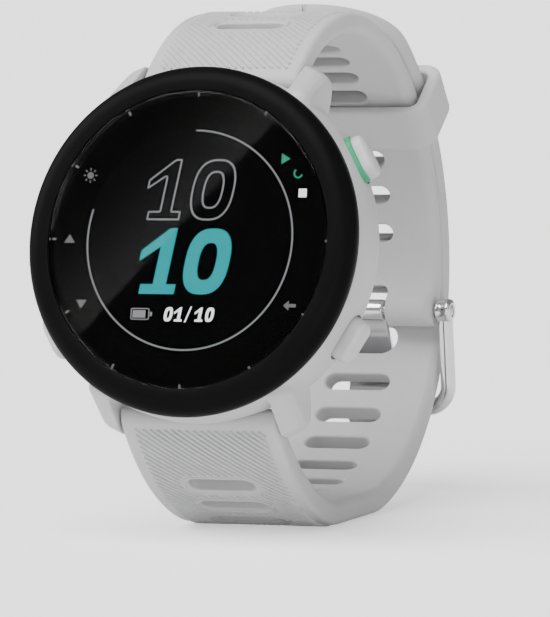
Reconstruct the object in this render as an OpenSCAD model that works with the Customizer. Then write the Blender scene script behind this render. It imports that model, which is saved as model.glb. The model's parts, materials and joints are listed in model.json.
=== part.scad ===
// GPS running watch, standing on its closed band. Millimetres, +Z up, the dial faces -Y and leans back.
// The origin is on the flat under the band, between the two slots nearest the flat's middle.

/* [Head] */
// Outer diameter of the bezel ring
bezel_d = 42; // [41.8:0.05:42.2]
// Diameter of the cover lens
lens_d = 35.7; // [35.4:0.05:35.75]
// Outer diameter of the case wall
case_d = 41.8; // [41.4:0.05:41.9]
// Thickness from the lens to the heart rate window
head_t = 11.6; // [11.45:0.01:11.65]
// Lean of the dial from upright, in degrees
tilt = 13; // [12.5:0.1:13.5]
// Height of the dial's centre over the ground
dial_z = 36.4; // [36.35:0.01:36.5]
// Set-back of the dial's centre from the origin
dial_y = -25.65; // [-25.7:0.01:-25.6]

/* [Buttons] */
// Depth of the button stems behind the lens
button_depth = 6.6; // [6.55:0.01:6.62]
// How far a cap's middle sits behind its stem
cap_drop = 0.8; // [0.7:0.05:0.8]
// Length of a cap along the case wall
cap_l = 5.6; // [5:0.1:7]
// Width of a cap
cap_w = 3.1; // [2.8:0.1:3.2]
// Reach of a cap from the dial's axis
cap_reach = 23.15; // [22.8:0.05:23.3]
// Travel of a button
button_travel = 0.5; // [0.3:0.05:0.5]

/* [Band] */
// Width of the band
band_w = 20.2; // [19.8:0.1:20.3]
// Thickness of the band at the case
band_root_t = 3; // [2.6:0.1:3]
// Thickness of the band where it lies double
band_t = 2.5; // [2.3:0.1:2.5]
// Gap between the two layers
layer_gap = 0.5; // [0.4:0.05:0.6]
// Length of a slot across the band
slot_l = 8.6; // [8:0.1:9]
// Height of a slot along the band
slot_h = 2.4; // [2:0.1:2.6]

/* [Buckle] */
// Diameter of the buckle frame's rod
rod_d = 1.9; // [1.6:0.05:2]
// Diameter of the buckle pin
pin_d = 1.5; // [1.3:0.05:1.6]
// Half of the width between the frame's side rods, to their middles
frame_half = 11.4; // [11.3:0.05:11.6]

/* [Hidden] */
$fn = 64;
gap = 0.05;
running = 0.04;
case_r = case_d / 2;
wall_r = case_r + 0.3;
cavity_r = 17.2;
rear_open_r = 16;
cover_r = 17.6;
cover_top = -8.7;
cover_bottom = -9.9;
case_top = -2.7;
ledge_top = -7.9;
lug_in = band_w / 2 + 0.2;
lug_w = 3.2;
lug_v = 20.5;
bar_z = -8.6;
bar_r = 0.75;
tip_r = 0.42;
lug_hole_r = 0.5;
knuckle_r = 1.9;
button_z = -button_depth;
stem_r = 0.7;
stem_end = 16.2;
pocket_floor = 19.4;
seal_r = 1.3;
clip_r = 1.25;
accent_reach = wall_r + 0.55;
screw_r = 14.4;
boss_r = 1.3;
screw_shank_r = 0.6;
board_r = 15.9;
board_top = -3.2;
board_bottom = -4;
hollow_r = 6.8;
window_r = 6.2;

START = 30;
BACK = -30;
LIGHT = 150;
UP = 180;
DOWN = 210;
BUTTONS = [START, BACK, LIGHT, UP, DOWN];
SCREWS = [45, 135, 225, 315];

// Arcs of the band's outer face, seen from +X: [centre [y, z], radius, first angle, last angle,
// first thickness, last thickness]. The angles run from +Y towards +Z.
front_c = [dial_y + 28.4, dial_z - 6.7];
front_r = 30.6;
back_c = [dial_y + 30.97, dial_z - 5.75];
back_r = 31;
tail_c = [dial_y + 27.2, dial_z - 6.2];
tail_r = 34.8;
top_c = [dial_y + 28.93, dial_z + 0.03];
top_r = 25.5;
join_a = 6.8;
top_join_a = 74.5;
tail_end_a = 70;
flat_start_a = 180 + asin(front_c[1] / front_r);
flat_end_a = -asin(back_c[1] / back_r);
inner_drop = band_t + layer_gap;
root_low_a = 211.7;
root_high_a = 131.5;
pin_a = -16.5;
pin_ring_r = 26;
pin_c = polar(back_c, pin_ring_r, pin_a);
pin_knuckle_r = 2;
bar_a = -37.5;
bar_ring_r = back_r + 0.65 + rod_d / 2;
far_c = polar(back_c, bar_ring_r, bar_a);
tongue_slot_a = -22.9;
tongue_slot_h = 4.2;
keeper_a = 36;
keeper_l = 6.2;
keeper_wall = 1.6;
notch_half = 4;
tongue_half = 3.3;

lower_arcs = [
    [front_c, front_r, root_low_a, flat_start_a, band_root_t, band_root_t],
    [back_c, back_r, flat_end_a, -30, band_root_t, band_t],
    [back_c, back_r, -30, join_a, band_t, band_t],
    [tail_c, tail_r, join_a, tail_end_a, band_t, band_t]
];
upper_arcs = [
    [top_c, top_r, root_high_a, top_join_a, band_root_t - 0.2, band_t],
    [tail_c, tail_r - inner_drop, top_join_a, join_a, band_t, band_t],
    [back_c, back_r - inner_drop, join_a, pin_a + 2, band_t, band_t]
];

function polar(c, r, a) = [c[0] + r * cos(a), c[1] + r * sin(a)];
function arc_line(s, inner, n) = [
    for (i = [0:n])
        let (a = s[2] + (s[3] - s[2]) * i / n, t = s[4] + (s[5] - s[4]) * i / n)
            polar(s[0], s[1] - (inner ? t : 0), a)
];
function backwards(v) = [for (i = [len(v) - 1:-1:0]) v[i]];
function band_side(arcs) = concat(
    [for (s = arcs) each arc_line(s, false, 16)],
    backwards([for (s = arcs) each arc_line(s, true, 16)])
);

// Places its children in the head: x to 3 o'clock, y to 12 o'clock, z out of the lens
module head() {
    translate([0, dial_y, dial_z]) rotate([90 - tilt, 0, 0]) children();
}

// Places its children at an angle round the dial, x pointing outwards
module around(a) {
    head() rotate([0, 0, a]) translate([0, 0, button_z]) children();
}

// Places its children on the band: x across, y outwards, z along the arc
module on_arc(c, r, a) {
    translate([0, c[0], c[1]]) rotate([a, 0, 0]) translate([0, r, 0]) children();
}

module ring(outer, inner, low, high) {
    difference() {
        translate([0, 0, low]) cylinder(r = outer, h = high - low);
        translate([0, 0, low - 1]) cylinder(r = inner, h = high - low + 2);
    }
}

module disc(r, low, high) {
    translate([0, 0, low]) cylinder(r = r, h = high - low);
}

module block(x, y, low, high) {
    translate([x[0], y[0], low]) cube([x[1] - x[0], y[1] - y[0], high - low]);
}

// A bar with round ends, length along y, width along z, from one x to the other
module oblong(l, w, x0, x1) {
    for (s = [-1, 1]) translate([x0, s * (l - w) / 2, 0]) rotate([0, 90, 0]) cylinder(d = w, h = x1 - x0);
    translate([x0, -(l - w) / 2, -w / 2]) cube([x1 - x0, l - w, w]);
}

// A rod across the band
module cross_rod(r, x0, x1) {
    translate([x0, 0, 0]) rotate([0, 90, 0]) cylinder(r = r, h = x1 - x0);
}

module at_lug(side) {
    head() translate([0, side * lug_v, bar_z]) children();
}

module lug(side, hand) {
    outline = [[13.5, -3], [18.6, -3.3], [21.2, -5.2], [22.5, -8.2], [22.4, -10.2], [21.2, -11.2],
        [18.8, -10.8], [15, -9.6], [13.5, -9]];
    x0 = hand > 0 ? lug_in : -lug_in - lug_w;
    difference() {
        translate([x0, 0, 0]) rotate([90, 0, 90]) linear_extrude(lug_w)
            polygon([for (p = outline) [side * p[0], p[1]]]);
        translate([hand * lug_in, side * lug_v, bar_z]) rotate([0, hand * 90, 0])
            translate([0, 0, -0.5]) cylinder(r = lug_hole_r, h = 2.1);
    }
}

module case_profile() {
    polygon([[0, case_top], [case_r - 0.3, case_top], [case_r, case_top - 0.3], [wall_r, -5.4],
        [wall_r, -8.6], [wall_r - 0.6, -9.5], [wall_r - 1.4, cover_bottom], [0, cover_bottom]]);
}

module case_shell() {
    difference() {
        rotate_extrude() case_profile();
        disc(cavity_r, ledge_top, case_top + 1);
        disc(rear_open_r, cover_top - 0.5, ledge_top + 0.5);
        disc(cover_r + gap, cover_bottom - 1, cover_top);
        for (side = [-1, 1]) translate([0, side * lug_v, bar_z])
            cross_rod(knuckle_r + 0.4, -lug_in, lug_in);
    }
}

// Room for the coloured collar round the front half of the START cap
module accent_space(width, reach) {
    around(START) intersection() {
        translate([0, 0, -cap_drop]) oblong(cap_l + width, cap_w + width, pocket_floor + 0.5, reach);
        block([pocket_floor, reach], [-cap_l, cap_l], -0.3, cap_w);
    }
}

module boss(a) {
    difference() {
        rotate([0, 0, a]) union() {
            translate([screw_r, 0, 0]) disc(boss_r, cover_top, board_bottom - gap);
            block([screw_r, cavity_r + 0.3], [-boss_r, boss_r], cover_top, board_bottom - gap);
        }
        rotate([0, 0, a]) translate([screw_r, 0, 0]) disc(screw_shank_r + 0.03, cover_top - 1, -6);
    }
}

module button_hole() {
    translate([0, 0, -cap_drop]) oblong(cap_l + 0.5, cap_w + 0.5, pocket_floor, 24);
    translate([pocket_floor - 3, 0, 0]) rotate([0, 90, 0]) cylinder(r = stem_r + running, h = 4);
    translate([cavity_r - 1, 0, 0]) rotate([0, 90, 0]) cylinder(r = seal_r + 0.03, h = 2.1);
}

module case_body() {
    color([0.8, 0.8, 0.81]) difference() {
        head() {
            case_shell();
            for (a = SCREWS) boss(a);
            for (side = [-1, 1], hand = [-1, 1]) lug(side, hand);
        }
        for (a = BUTTONS) around(a) button_hole();
        accent_space(0.94, 24);
    }
}

module bezel_ring() {
    r = bezel_d / 2;
    roll = [for (i = [0:8]) let (a = 90 - i * 90 / 8) [r - 2.2 + 2.2 * cos(a), -1.9 + 1.9 * sin(a)]];
    color([0.07, 0.07, 0.07]) head() difference() {
        rotate_extrude() polygon(concat(
            [[lens_d / 2 + gap, 0]], roll,
            [[r, case_top + gap], [16.9, case_top + gap], [16.9, -1.25], [lens_d / 2 + gap, -1.25]]));
        ring(19.2, 18, -3, -1.9);
    }
}

module lens_glass() {
    color([0.1, 0.1, 0.11, 0.5]) head() disc(lens_d / 2, -1.1, -gap);
}

module lens_gasket() {
    color([0.1, 0.1, 0.1]) head() ring(17.8, 17.2, -1.25, -1.1);
}

module lens_mask() {
    color([0.03, 0.03, 0.03]) head() ring(16.8, 13.3, -1.19, -1.11);
}

module display_panel() {
    color([0.05, 0.06, 0.07]) head() disc(14, -2.45, -1.22);
}

module display_carrier() {
    color([0.2, 0.2, 0.2]) head() difference() {
        disc(16.8, -3, -1.3);
        disc(14.1, -2.5, 0);
        block([-4.2, 4.2], [-13.8, -13.2], -4, -2);
    }
}

module display_flex() {
    color([0.75, 0.5, 0.15]) head() block([-4, 4], [-13.6, -13.4], board_top, -2.47);
}

module main_board() {
    color([0.05, 0.3, 0.15]) head() disc(board_r, board_bottom, board_top);
}

module chip(x, y, size, h) {
    head() block([x, x + size[0]], [y, y + size[1]], board_bottom - h, board_bottom);
}

module processor() { color([0.1, 0.1, 0.1]) chip(-3.5, -1, [7, 7], 0.9); }
module gps_receiver() { color([0.7, 0.7, 0.72]) chip(5, 2, [3.6, 4.2], 0.9); }
module bluetooth_radio() { color([0.7, 0.7, 0.72]) chip(-8.6, 1, [4.2, 5], 0.9); }
module memory_chip() { color([0.1, 0.1, 0.1]) chip(-3, -7, [6, 4.6], 0.8); }
module motion_sensor() { color([0.15, 0.15, 0.15]) chip(5, -5.5, [2.5, 2.5], 0.8); }

module gps_antenna() {
    color([0.75, 0.5, 0.15]) head() rotate([0, 0, 110]) rotate_extrude(angle = 320)
        translate([18.1, -2.6]) square([1, 0.6]);
}

module battery_cell() {
    color([0.6, 0.62, 0.65]) head() block([-9, 9], [-8.4, 7.4], -8.4, -5.2);
}

module battery_tab() {
    color([0.75, 0.5, 0.15]) head() {
        block([9, 11], [-1.5, 1.5], -6.5, -6.3);
        block([10.8, 11], [-1.5, 1.5], -6.4, board_bottom);
    }
}

module vibration_motor() {
    color([0.7, 0.7, 0.7]) head() translate([0, 12, 0]) disc(3.9, -8.3, -5.6);
}

module buzzer() {
    color([0.8, 0.7, 0.35]) head() translate([0, -12.2, 0]) disc(3.4, -7.9, -6.9);
}

module tact_switches() {
    color([0.25, 0.25, 0.25]) for (a = BUTTONS) around(a) {
        translate([13.2, -1.7, -0.9]) cube([2, 3.4, 1.9]);
        translate([15.1, 0, 0]) rotate([0, 90, 0]) cylinder(r = 0.5, h = 0.55);
    }
}

module button_seals() {
    color([0.15, 0.15, 0.15]) for (a = BUTTONS) around(a) translate([cavity_r + 0.2, 0, 0]) rotate([0, 90, 0])
        ring(seal_r, stem_r + running, 0, 0.85);
}

module rear_cover() {
    color([0.75, 0.75, 0.76]) head() difference() {
        union() {
            disc(cover_r, cover_bottom, cover_top);
            rotate_extrude() polygon([[0, cover_bottom + 0.2], [10.6, cover_bottom + 0.2],
                [10.6, cover_bottom], [9.6, -10.8], [8.6, 0.25 - head_t], [0, 0.25 - head_t]]);
        }
        disc(hollow_r, -10.35, 0);
        disc(window_r + gap, -13, 0);
        ring(17, 16.2, -9.5, -8);
        for (a = SCREWS) rotate([0, 0, a]) translate([screw_r, 0, 0]) {
            disc(0.75, -12, 0);
            disc(1.35, -12, -9.1);
        }
        block([-3.75, 3.75], [-14.55, -11.05], -12, 0);
    }
}

module rear_seal() {
    color([0.12, 0.12, 0.12]) head() translate([0, 0, -9.1])
        rotate_extrude() translate([16.6, 0]) circle(r = 0.38);
}

module rear_screws() {
    color([0.65, 0.65, 0.67]) head() for (a = SCREWS) rotate([0, 0, a]) translate([screw_r, 0, 0]) {
        difference() {
            disc(1.25, -9.8, -9.1);
            translate([0, 0, -10]) cylinder(r = 0.5, h = 0.5, $fn = 6);
        }
        disc(screw_shank_r, -9.2, -6.5);
    }
}

module sensor_window() {
    color([0.05, 0.05, 0.06]) head() union() {
        disc(window_r, -head_t, -10.2);
        disc(hollow_r - gap, -10.35, -10.15);
    }
}

module sensor_pocket_places() {
    for (x = [-2.6, 2.6]) translate([x, 0, 0]) children();
}

module light_baffle() {
    color([0.05, 0.05, 0.05]) head() difference() {
        disc(6.7, -10.1, -9.65);
        sensor_pocket_places() block([-1.2, 1.2], [-1.6, 1.6], -12, 0);
        for (y = [-1.6, 0, 1.6]) translate([0, y, 0]) block([-0.6, 0.6], [-0.6, 0.6], -12, 0);
    }
}

module sensor_board() {
    color([0.05, 0.3, 0.15]) head() disc(6.6, -9.6, -9);
}

module sensor_leds() {
    color([0.3, 0.9, 0.4]) head() for (y = [-1.6, 0, 1.6]) translate([0, y, 0])
        block([-0.5, 0.5], [-0.5, 0.5], -10, -9.6);
}

module photodiodes() {
    color([0.2, 0.25, 0.4]) head() sensor_pocket_places() block([-1.1, 1.1], [-1.5, 1.5], -10, -9.6);
}

module charging_port() {
    color([0.1, 0.1, 0.1]) head() difference() {
        block([-3.7, 3.7], [-14.5, -11.1], -9.85, -8.2);
        block([-3.1, 3.1], [-13.9, -11.7], -10, -9.3);
        for (x = [-2.4:1.6:2.4]) translate([x, -12.8, 0]) disc(0.42, -12, 0);
    }
}

module charging_contacts() {
    color([0.85, 0.7, 0.3]) head() for (x = [-2.4:1.6:2.4]) translate([x, -12.8, 0]) disc(0.4, -9.6, -8.1);
}

module start_accent() {
    color([0.3, 0.72, 0.5]) difference() {
        accent_space(0.9, accent_reach);
        around(START) translate([0, 0, -cap_drop]) oblong(cap_l + 0.12, cap_w + 0.12, pocket_floor, 24);
    }
}

module cap(a) {
    color([0.8, 0.8, 0.81]) around(a) {
        translate([0, 0, -cap_drop]) {
            oblong(cap_l - 0.9, cap_w - 0.9, cap_reach - 0.6, cap_reach);
            oblong(cap_l, cap_w, pocket_floor + button_travel + 0.1, cap_reach - 0.4);
        }
        translate([stem_end, 0, 0]) rotate([0, 90, 0]) cylinder(r = stem_r, h = 4.4);
    }
}

module clip(a) {
    color([0.65, 0.65, 0.67]) around(a) translate([cavity_r - 0.4, 0, 0]) rotate([0, 90, 0])
        ring(clip_r, stem_r, 0, 0.3);
}

module start_cap() { cap(START); }
module back_cap() { cap(BACK); }
module light_cap() { cap(LIGHT); }
module up_cap() { cap(UP); }
module down_cap() { cap(DOWN); }
module start_clip() { clip(START); }
module back_clip() { clip(BACK); }
module light_clip() { clip(LIGHT); }
module up_clip() { clip(UP); }
module down_clip() { clip(DOWN); }

// A slot through the band, long across it
module band_slot(h) {
    rotate([0, 0, 90]) oblong(slot_l, h, -4, 4);
}

module band_plate(arcs) {
    rotate([90, 0, 90]) linear_extrude(band_w, center = true) polygon(band_side(arcs));
}

module bar_bore(side) {
    at_lug(side) cross_rod(bar_r + 0.02, -11, 11);
}

// The notch on the wrist side of the band that the release knob slides in
module knob_notch(side) {
    at_lug(side) translate([5, -0.7, -3]) cube([3.4, 1.4, 3]);
}

// Cuts the corners off the end of the lower strap
module tip_corners() {
    round_r = band_w / 2 + 0.2;
    round_a = tail_end_a - round_r / (tail_r - band_t / 2) * 180 / PI;
    on_arc(tail_c, tail_r, round_a) difference() {
        translate([-15, -15, 0]) cube([30, 30, 15]);
        rotate([90, 0, 0]) cylinder(r = round_r, h = 40, center = true);
    }
}

module lower_strap() {
    color([0.78, 0.78, 0.79]) difference() {
        union() {
            band_plate(lower_arcs);
            at_lug(-1) cross_rod(knuckle_r, -band_w / 2, band_w / 2);
        }
        tip_corners();
        for (a = [231:9.6:251]) on_arc(front_c, front_r, a) band_slot(slot_h);
        for (y = [-2.55, 2.55, 7.65]) translate([0, y, 0]) rotate([90, 0, 0]) band_slot(slot_h);
        for (a = [-76:10.2:-30]) on_arc(back_c, back_r, a) band_slot(slot_h);
        on_arc(back_c, back_r, tongue_slot_a) band_slot(tongue_slot_h);
        for (a = [-13, -3.5, 6]) on_arc(back_c, back_r, a) band_slot(slot_h);
        for (a = [14.5:8.6:52]) on_arc(tail_c, tail_r, a) band_slot(slot_h);
        bar_bore(-1);
        knob_notch(-1);
    }
}

module upper_strap() {
    color([0.78, 0.78, 0.79]) difference() {
        union() {
            band_plate(upper_arcs);
            at_lug(1) cross_rod(knuckle_r, -band_w / 2, band_w / 2);
            translate([0, pin_c[0], pin_c[1]]) cross_rod(pin_knuckle_r, -band_w / 2, band_w / 2);
        }
        for (a = [84.3, 95.8, 107.3]) on_arc(top_c, top_r, a) band_slot(slot_h);
        for (a = [5.5:9.6:35]) on_arc(tail_c, tail_r - inner_drop, a) band_slot(slot_h);
        for (a = [43.9:7.2:73]) on_arc(tail_c, tail_r - inner_drop, a) band_slot(slot_h);
        on_arc(back_c, pin_ring_r, pin_a) translate([-notch_half, -5, -4]) cube([2 * notch_half, 10, 7.4]);
        translate([0, pin_c[0], pin_c[1]]) cross_rod(pin_d / 2 + running, -11, 11);
        bar_bore(1);
        knob_notch(1);
    }
}

module spring_bar(side) {
    color([0.7, 0.7, 0.72]) at_lug(side) difference() {
        union() {
            cross_rod(bar_r, -9.9, 9.9);
            cross_rod(tip_r, -11.6, -9.8);
        }
        cross_rod(tip_r + running, 3.4, 11);
        translate([5, -0.6, -3]) cube([3.4, 1.2, 3]);
    }
}

module upper_bar() { spring_bar(1); }
module lower_bar() { spring_bar(-1); }

module release(side) {
    color([0.7, 0.7, 0.72]) at_lug(side) {
        cross_rod(tip_r, 5.2, 11.6);
        translate([7.6, 0, -2.2]) cylinder(r = 0.45, h = 2.2);
    }
}

module upper_release() { release(1); }
module lower_release() { release(-1); }

module keeper_loop() {
    inner = tail_r - 2 * band_t - layer_gap - 0.35;
    outer = tail_r + 1;
    mid = (inner + outer) / 2;
    half = band_w / 2 + 0.4;
    color([0.78, 0.78, 0.79]) on_arc(tail_c, mid, keeper_a) difference() {
        cube([2 * (half + keeper_wall), outer - inner + 2 * keeper_wall, keeper_l], center = true);
        cube([2 * half, outer - inner, keeper_l + 1], center = true);
    }
}

module buckle_frame() {
    len = norm(far_c - pin_c);
    lean = atan2(far_c[1] - pin_c[1], far_c[0] - pin_c[0]);
    bend = 3;
    color([0.8, 0.8, 0.82]) translate([0, pin_c[0], pin_c[1]]) rotate([lean, 0, 0]) difference() {
        union() {
            for (s = [-1, 1]) {
                translate([s * frame_half, 0, 0]) rotate([-90, 0, 0]) cylinder(d = rod_d, h = len - bend);
                translate([s * frame_half - rod_d / 2, 0, 0]) rotate([0, 90, 0]) cylinder(r = 1.5, h = rod_d);
                translate([s * (frame_half - bend), len - bend, 0]) rotate([0, 0, s > 0 ? 0 : 90])
                    rotate_extrude(angle = 90) translate([bend, 0]) circle(d = rod_d, $fn = 32);
            }
            translate([0, len, 0]) cross_rod(rod_d / 2, bend - frame_half, frame_half - bend);
        }
        cross_rod(pin_d / 2, -14, 14);
    }
}

module buckle_pin() {
    color([0.75, 0.75, 0.77]) translate([0, pin_c[0], pin_c[1]])
        cross_rod(pin_d / 2, -frame_half - rod_d / 2 + gap, frame_half + rod_d / 2 - gap);
}

function unit(v) = v / norm(v);
function turned(v) = [-v[1], v[0]];

// Outline of a bent strip of even thickness through three points
function strip(p, half_t) =
    let (a = turned(unit(p[1] - p[0])), b = turned(unit(p[2] - p[1])), m = (a + b) / (1 + a * b))
    [p[0] + a * half_t, p[1] + m * half_t, p[2] + b * half_t,
        p[2] - b * half_t, p[1] - m * half_t, p[0] - a * half_t];

// The tongue leaves the pin, goes out through a slot, bends and rests over the far rod
module buckle_tongue() {
    half_t = 0.4;
    barrel_r = 1.35;
    knee = polar(back_c, back_r + 1.1, -26);
    rest = polar(back_c, bar_ring_r + rod_d / 2 + half_t + 0.4, -38.5);
    color([0.8, 0.8, 0.82]) difference() {
        union() {
            translate([0, pin_c[0], pin_c[1]]) cross_rod(barrel_r, -tongue_half, tongue_half);
            rotate([90, 0, 90]) linear_extrude(2 * tongue_half - 0.2, center = true)
                polygon(strip([pin_c, knee, rest], half_t));
        }
        translate([0, pin_c[0], pin_c[1]]) cross_rod(pin_d / 2 + running, -5, 5);
    }
}

case_body();
bezel_ring();
lens_glass();
lens_gasket();
lens_mask();
display_panel();
display_carrier();
display_flex();
main_board();
processor();
gps_receiver();
bluetooth_radio();
memory_chip();
motion_sensor();
gps_antenna();
battery_cell();
battery_tab();
vibration_motor();
buzzer();
tact_switches();
button_seals();
rear_cover();
rear_seal();
rear_screws();
sensor_window();
light_baffle();
sensor_board();
sensor_leds();
photodiodes();
charging_port();
charging_contacts();
start_accent();
start_cap();
back_cap();
light_cap();
up_cap();
down_cap();
start_clip();
back_clip();
light_clip();
up_clip();
down_clip();
upper_strap();
lower_strap();
upper_bar();
lower_bar();
upper_release();
lower_release();
keeper_loop();
buckle_frame();
buckle_pin();
buckle_tongue();
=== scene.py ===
"""GPS running watch, standing on its closed band: the looks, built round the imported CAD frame.

Shapes are worked out in millimetres and turned into metres when a piece is made. Three frames are used:
the part's own (x across, y back, z up), the head's (x, v towards 12 o'clock, z out of the lens) and, for
the band, the flat one (x across, s along the band from its lug, depth below its outer face).
"""

import json
import math

import bmesh
import bpy
import numpy as np
from mathutils import Matrix, Vector

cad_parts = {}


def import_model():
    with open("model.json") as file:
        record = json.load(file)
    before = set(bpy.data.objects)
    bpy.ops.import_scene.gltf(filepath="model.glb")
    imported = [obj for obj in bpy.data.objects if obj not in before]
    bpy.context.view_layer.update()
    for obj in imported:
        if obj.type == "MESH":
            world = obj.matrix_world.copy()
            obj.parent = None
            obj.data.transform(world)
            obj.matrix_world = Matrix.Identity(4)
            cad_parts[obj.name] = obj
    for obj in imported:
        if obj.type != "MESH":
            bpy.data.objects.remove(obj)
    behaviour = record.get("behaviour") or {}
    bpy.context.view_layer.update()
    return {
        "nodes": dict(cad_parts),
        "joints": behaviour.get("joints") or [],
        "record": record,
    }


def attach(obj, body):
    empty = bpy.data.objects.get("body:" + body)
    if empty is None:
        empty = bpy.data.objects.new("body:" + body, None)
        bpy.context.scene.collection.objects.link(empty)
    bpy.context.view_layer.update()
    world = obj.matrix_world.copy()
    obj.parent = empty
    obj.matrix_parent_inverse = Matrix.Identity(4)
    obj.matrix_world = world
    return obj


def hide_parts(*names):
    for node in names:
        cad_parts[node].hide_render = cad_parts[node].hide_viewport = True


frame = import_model()

MM = 0.001
JOINTS = {j["name"]: j for j in frame["joints"]}
SLOT_OF = {s["node"]: s["material_slot"] for s in frame["record"]["subparts"]}


def joint_point(name):
    return Vector(JOINTS[name]["pos_m"]) / MM


# ---------------- driving dimensions, mm and degrees

# The head: how deep and how far out its spring bars lie, then radii about the dial's centre and
# heights from the lens's face.
BAR_DEPTH = 8.6
LUG_V = 20.5
BEZEL_R = 21.0
LENS_R = 17.85
CASE_R = 20.9
WALL_R = 21.2
CASE_TOP = -2.7
CASE_BOTTOM = -9.9
COVER_R = 17.6
HEAD_T = 11.6
WINDOW_R = 6.2
SCREW_R = 14.4

# The buttons: their angles round the dial, sizes and places in the case wall.
BUTTONS = {"start": 30, "back": -30, "light": 150, "up": 180, "down": 210}
STEM_DEPTH = 6.6
CAP_DROP = 0.8
CAP_L = 5.6
CAP_W = 3.1
POCKET_FLOOR = 19.4

# The band: widths, thicknesses, how deep its spring bars lie, its slots, rounded edges and keeper.
BAND_W = 20.2
ROOT_T = 3.0
UPPER_ROOT_T = 2.8
BAND_T = 2.5
LOWER_BAR_DEPTH = 1.65
UPPER_BAR_DEPTH = 1.45
ROOT_REACH = 1.55
LAYER_GAP = 0.5
SLOT_L = 8.6
SLOT_H = 2.4
OUTER_ROUND = 0.7
INNER_ROUND = 1.15
KEEPER_ANGLE = 36
KEEPER_L = 6.2

# The fine ribs, and the rims and lips of the slots.
RIB_PITCH = 0.66
RIB_W = 0.38
RIB_H = 0.26
RIB_MARGIN = 1.6
RIM_R = 0.2
LIP = 0.35

# The buckle.
ROD_R = 0.95
PIN_R = 0.75
FRAME_HALF = 11.4
KNUCKLE_R = 2.0
NOTCH_HALF = 4.0
TONGUE_HALF = 3.2

HIGH = joint_point("upper_band_hinge")
LOW = joint_point("lower_band_hinge")
UP = (HIGH - LOW).normalized()
OUT = Vector((0, -UP.z, UP.y))
DIAL = (HIGH + LOW) / 2 + OUT * BAR_DEPTH
HEAD = Matrix((
    (1, UP.x, OUT.x, DIAL.x),
    (0, UP.y, OUT.y, DIAL.y),
    (0, UP.z, OUT.z, DIAL.z),
    (0, 0, 0, 1),
))
PIN = joint_point("buckle_pivot")
TAIL = joint_point("keeper_slide")


# ---------------- mesh helpers


class Shell:
    """Closed surfaces under construction: points in millimetres and faces."""

    def __init__(self):
        self.points = []
        self.faces = []

    def rings(self, rings, closed=False):
        """Joins rings of equal length, end to end or in a closed round, and caps open ends."""
        start = len(self.points)
        n = len(rings[0])
        for r in rings:
            self.points.extend(Vector(p) for p in r)
        count = len(rings)
        for i in range(count if closed else count - 1):
            a, b = start + i * n, start + (i + 1) % count * n
            for k in range(n):
                m = (k + 1) % n
                self.faces.append((a + k, a + m, b + m, b + k))
        if not closed:
            self.faces.append(tuple(range(start + n - 1, start - 1, -1)))
            last = start + (count - 1) * n
            self.faces.append(tuple(range(last, last + n)))
        return self

    def add(self, other, place=None):
        start = len(self.points)
        self.points.extend(place @ p if place else p.copy() for p in other.points)
        self.faces.extend(tuple(start + i for i in f) for f in other.faces)
        return self

    def placed(self, place):
        return Shell().add(self, place)

    def mapped(self, function):
        self.points = [Vector(function(p)) for p in self.points]
        return self


def mesh_of(shell, name):
    mesh = bpy.data.meshes.new(name)
    mesh.from_pydata(shell.points, [], shell.faces)
    mesh.validate()
    bm = bmesh.new()
    bm.from_mesh(mesh)
    bmesh.ops.recalc_face_normals(bm, faces=bm.faces)
    bm.to_mesh(mesh)
    bm.free()
    return mesh


def new_object(name, data):
    obj = bpy.data.objects.new(name, data)
    bpy.context.scene.collection.objects.link(obj)
    return obj


def worked(shell, modifiers, cutters=()):
    """The shell after boolean cuts and modifiers, each given as (type, settings)."""
    made = [new_object("work", mesh_of(s, "work")) for s in (shell, *cutters)]
    target = made[0]
    for cutter in made[1:]:
        m = target.modifiers.new("cut", "BOOLEAN")
        m.operation = "DIFFERENCE"
        m.solver = "EXACT"
        m.object = cutter
    for kind, settings in modifiers:
        m = target.modifiers.new(kind, kind)
        for key, value in settings.items():
            setattr(m, key, value)
    graph = bpy.context.evaluated_depsgraph_get()
    mesh = bpy.data.meshes.new_from_object(target.evaluated_get(graph))
    result = Shell()
    result.points = [v.co.copy() for v in mesh.vertices]
    result.faces = [tuple(p.vertices) for p in mesh.polygons]
    bpy.data.meshes.remove(mesh)
    for o in made:
        data = o.data
        bpy.data.objects.remove(o)
        bpy.data.meshes.remove(data)
    return result


def cut(shell, *cutters):
    return worked(shell, (), cutters)


def piece(name, shell, slot, body, nodes=(), sharp=35, material=None):
    """Makes an object of a shell, in metres, that moves with a CAD body and stands for CAD nodes."""
    mesh = mesh_of(shell, name)
    mesh.transform(Matrix.Scale(MM, 4))
    mesh.shade_smooth()
    mesh.set_sharp_from_angle(angle=math.radians(sharp))
    mesh.materials.append(material or MATERIALS[slot])
    obj = new_object(name, mesh)
    weighted = obj.modifiers.new("normals", "WEIGHTED_NORMAL")
    weighted.keep_sharp = True
    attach(obj, body)
    if nodes:
        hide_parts(*nodes)


def head_piece(name, shell, slot, sharp=30):
    """A piece in the head's frame that stands for the CAD node of its own name."""
    piece(name, shell.placed(HEAD), slot, "watch_head", [name], sharp)


def circle(r, n):
    turns = [2 * math.pi * i / n for i in range(n)]
    return [(r * math.cos(a), r * math.sin(a)) for a in turns]


def rectangle(x0, y0, x1, y1):
    return [(x0, y0), (x1, y0), (x1, y1), (x0, y1)]


def prism(loop, low, high):
    """A straight form: a loop of (x, y) carried from one z to another."""
    return Shell().rings([[(x, y, z) for x, y in loop] for z in (low, high)])


def bar(profile, n, centre=Vector(), closed=False):
    """A turned form along x about a centre, from (x, radius) points; a closed profile leaves a bore."""
    rings = [[(x, centre.y + a, centre.z + b) for a, b in circle(r, n)] for x, r in profile]
    return Shell().rings(rings, closed)


def lathe(profile, closed=False, n=192):
    """A turned form about z from (radius, z) points; a closed profile leaves a hole."""
    return Shell().rings([[(x, y, z) for x, y in circle(r, n)] for r, z in profile], closed)


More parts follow.
